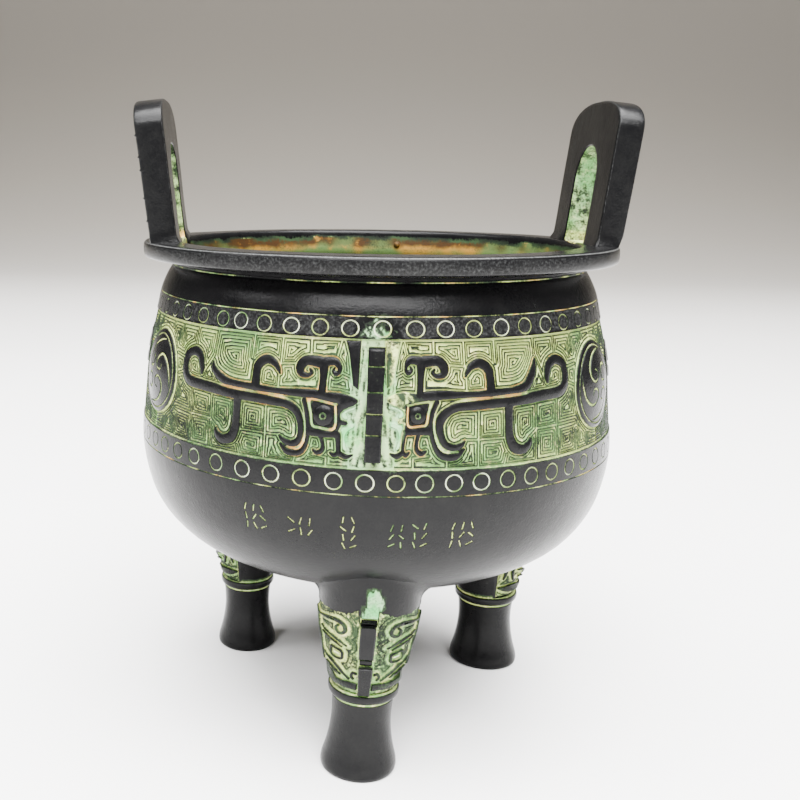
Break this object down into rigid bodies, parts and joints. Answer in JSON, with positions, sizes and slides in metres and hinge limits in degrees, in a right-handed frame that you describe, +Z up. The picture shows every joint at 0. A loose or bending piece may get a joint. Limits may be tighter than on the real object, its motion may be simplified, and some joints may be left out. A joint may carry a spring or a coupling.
{
  "type": "round tripod ding vessel",
  "caption": "Round cast bronze cauldron on three legs with two upright slotted handles and a relief band of dragons and whorls.",
  "frame": {"origin": "on the floor under the middle of the vessel's box, close to the bowl's axis", "axes": "+Z up along the bowl's axis; the front leg and front ridge face -Y; the two handles stand near +X and -X, turned 6.4 degrees"},
  "size_m": [0.1586, 0.1556, 0.2023],
  "materials": {
    "patinated_bronze": "dark chemical patina, semi-gloss, with pale green and ochre in the recesses"
  },
  "bodies": {
    "root": {"ding_vessel": "patinated_bronze"}
  },
  "joints": []
}
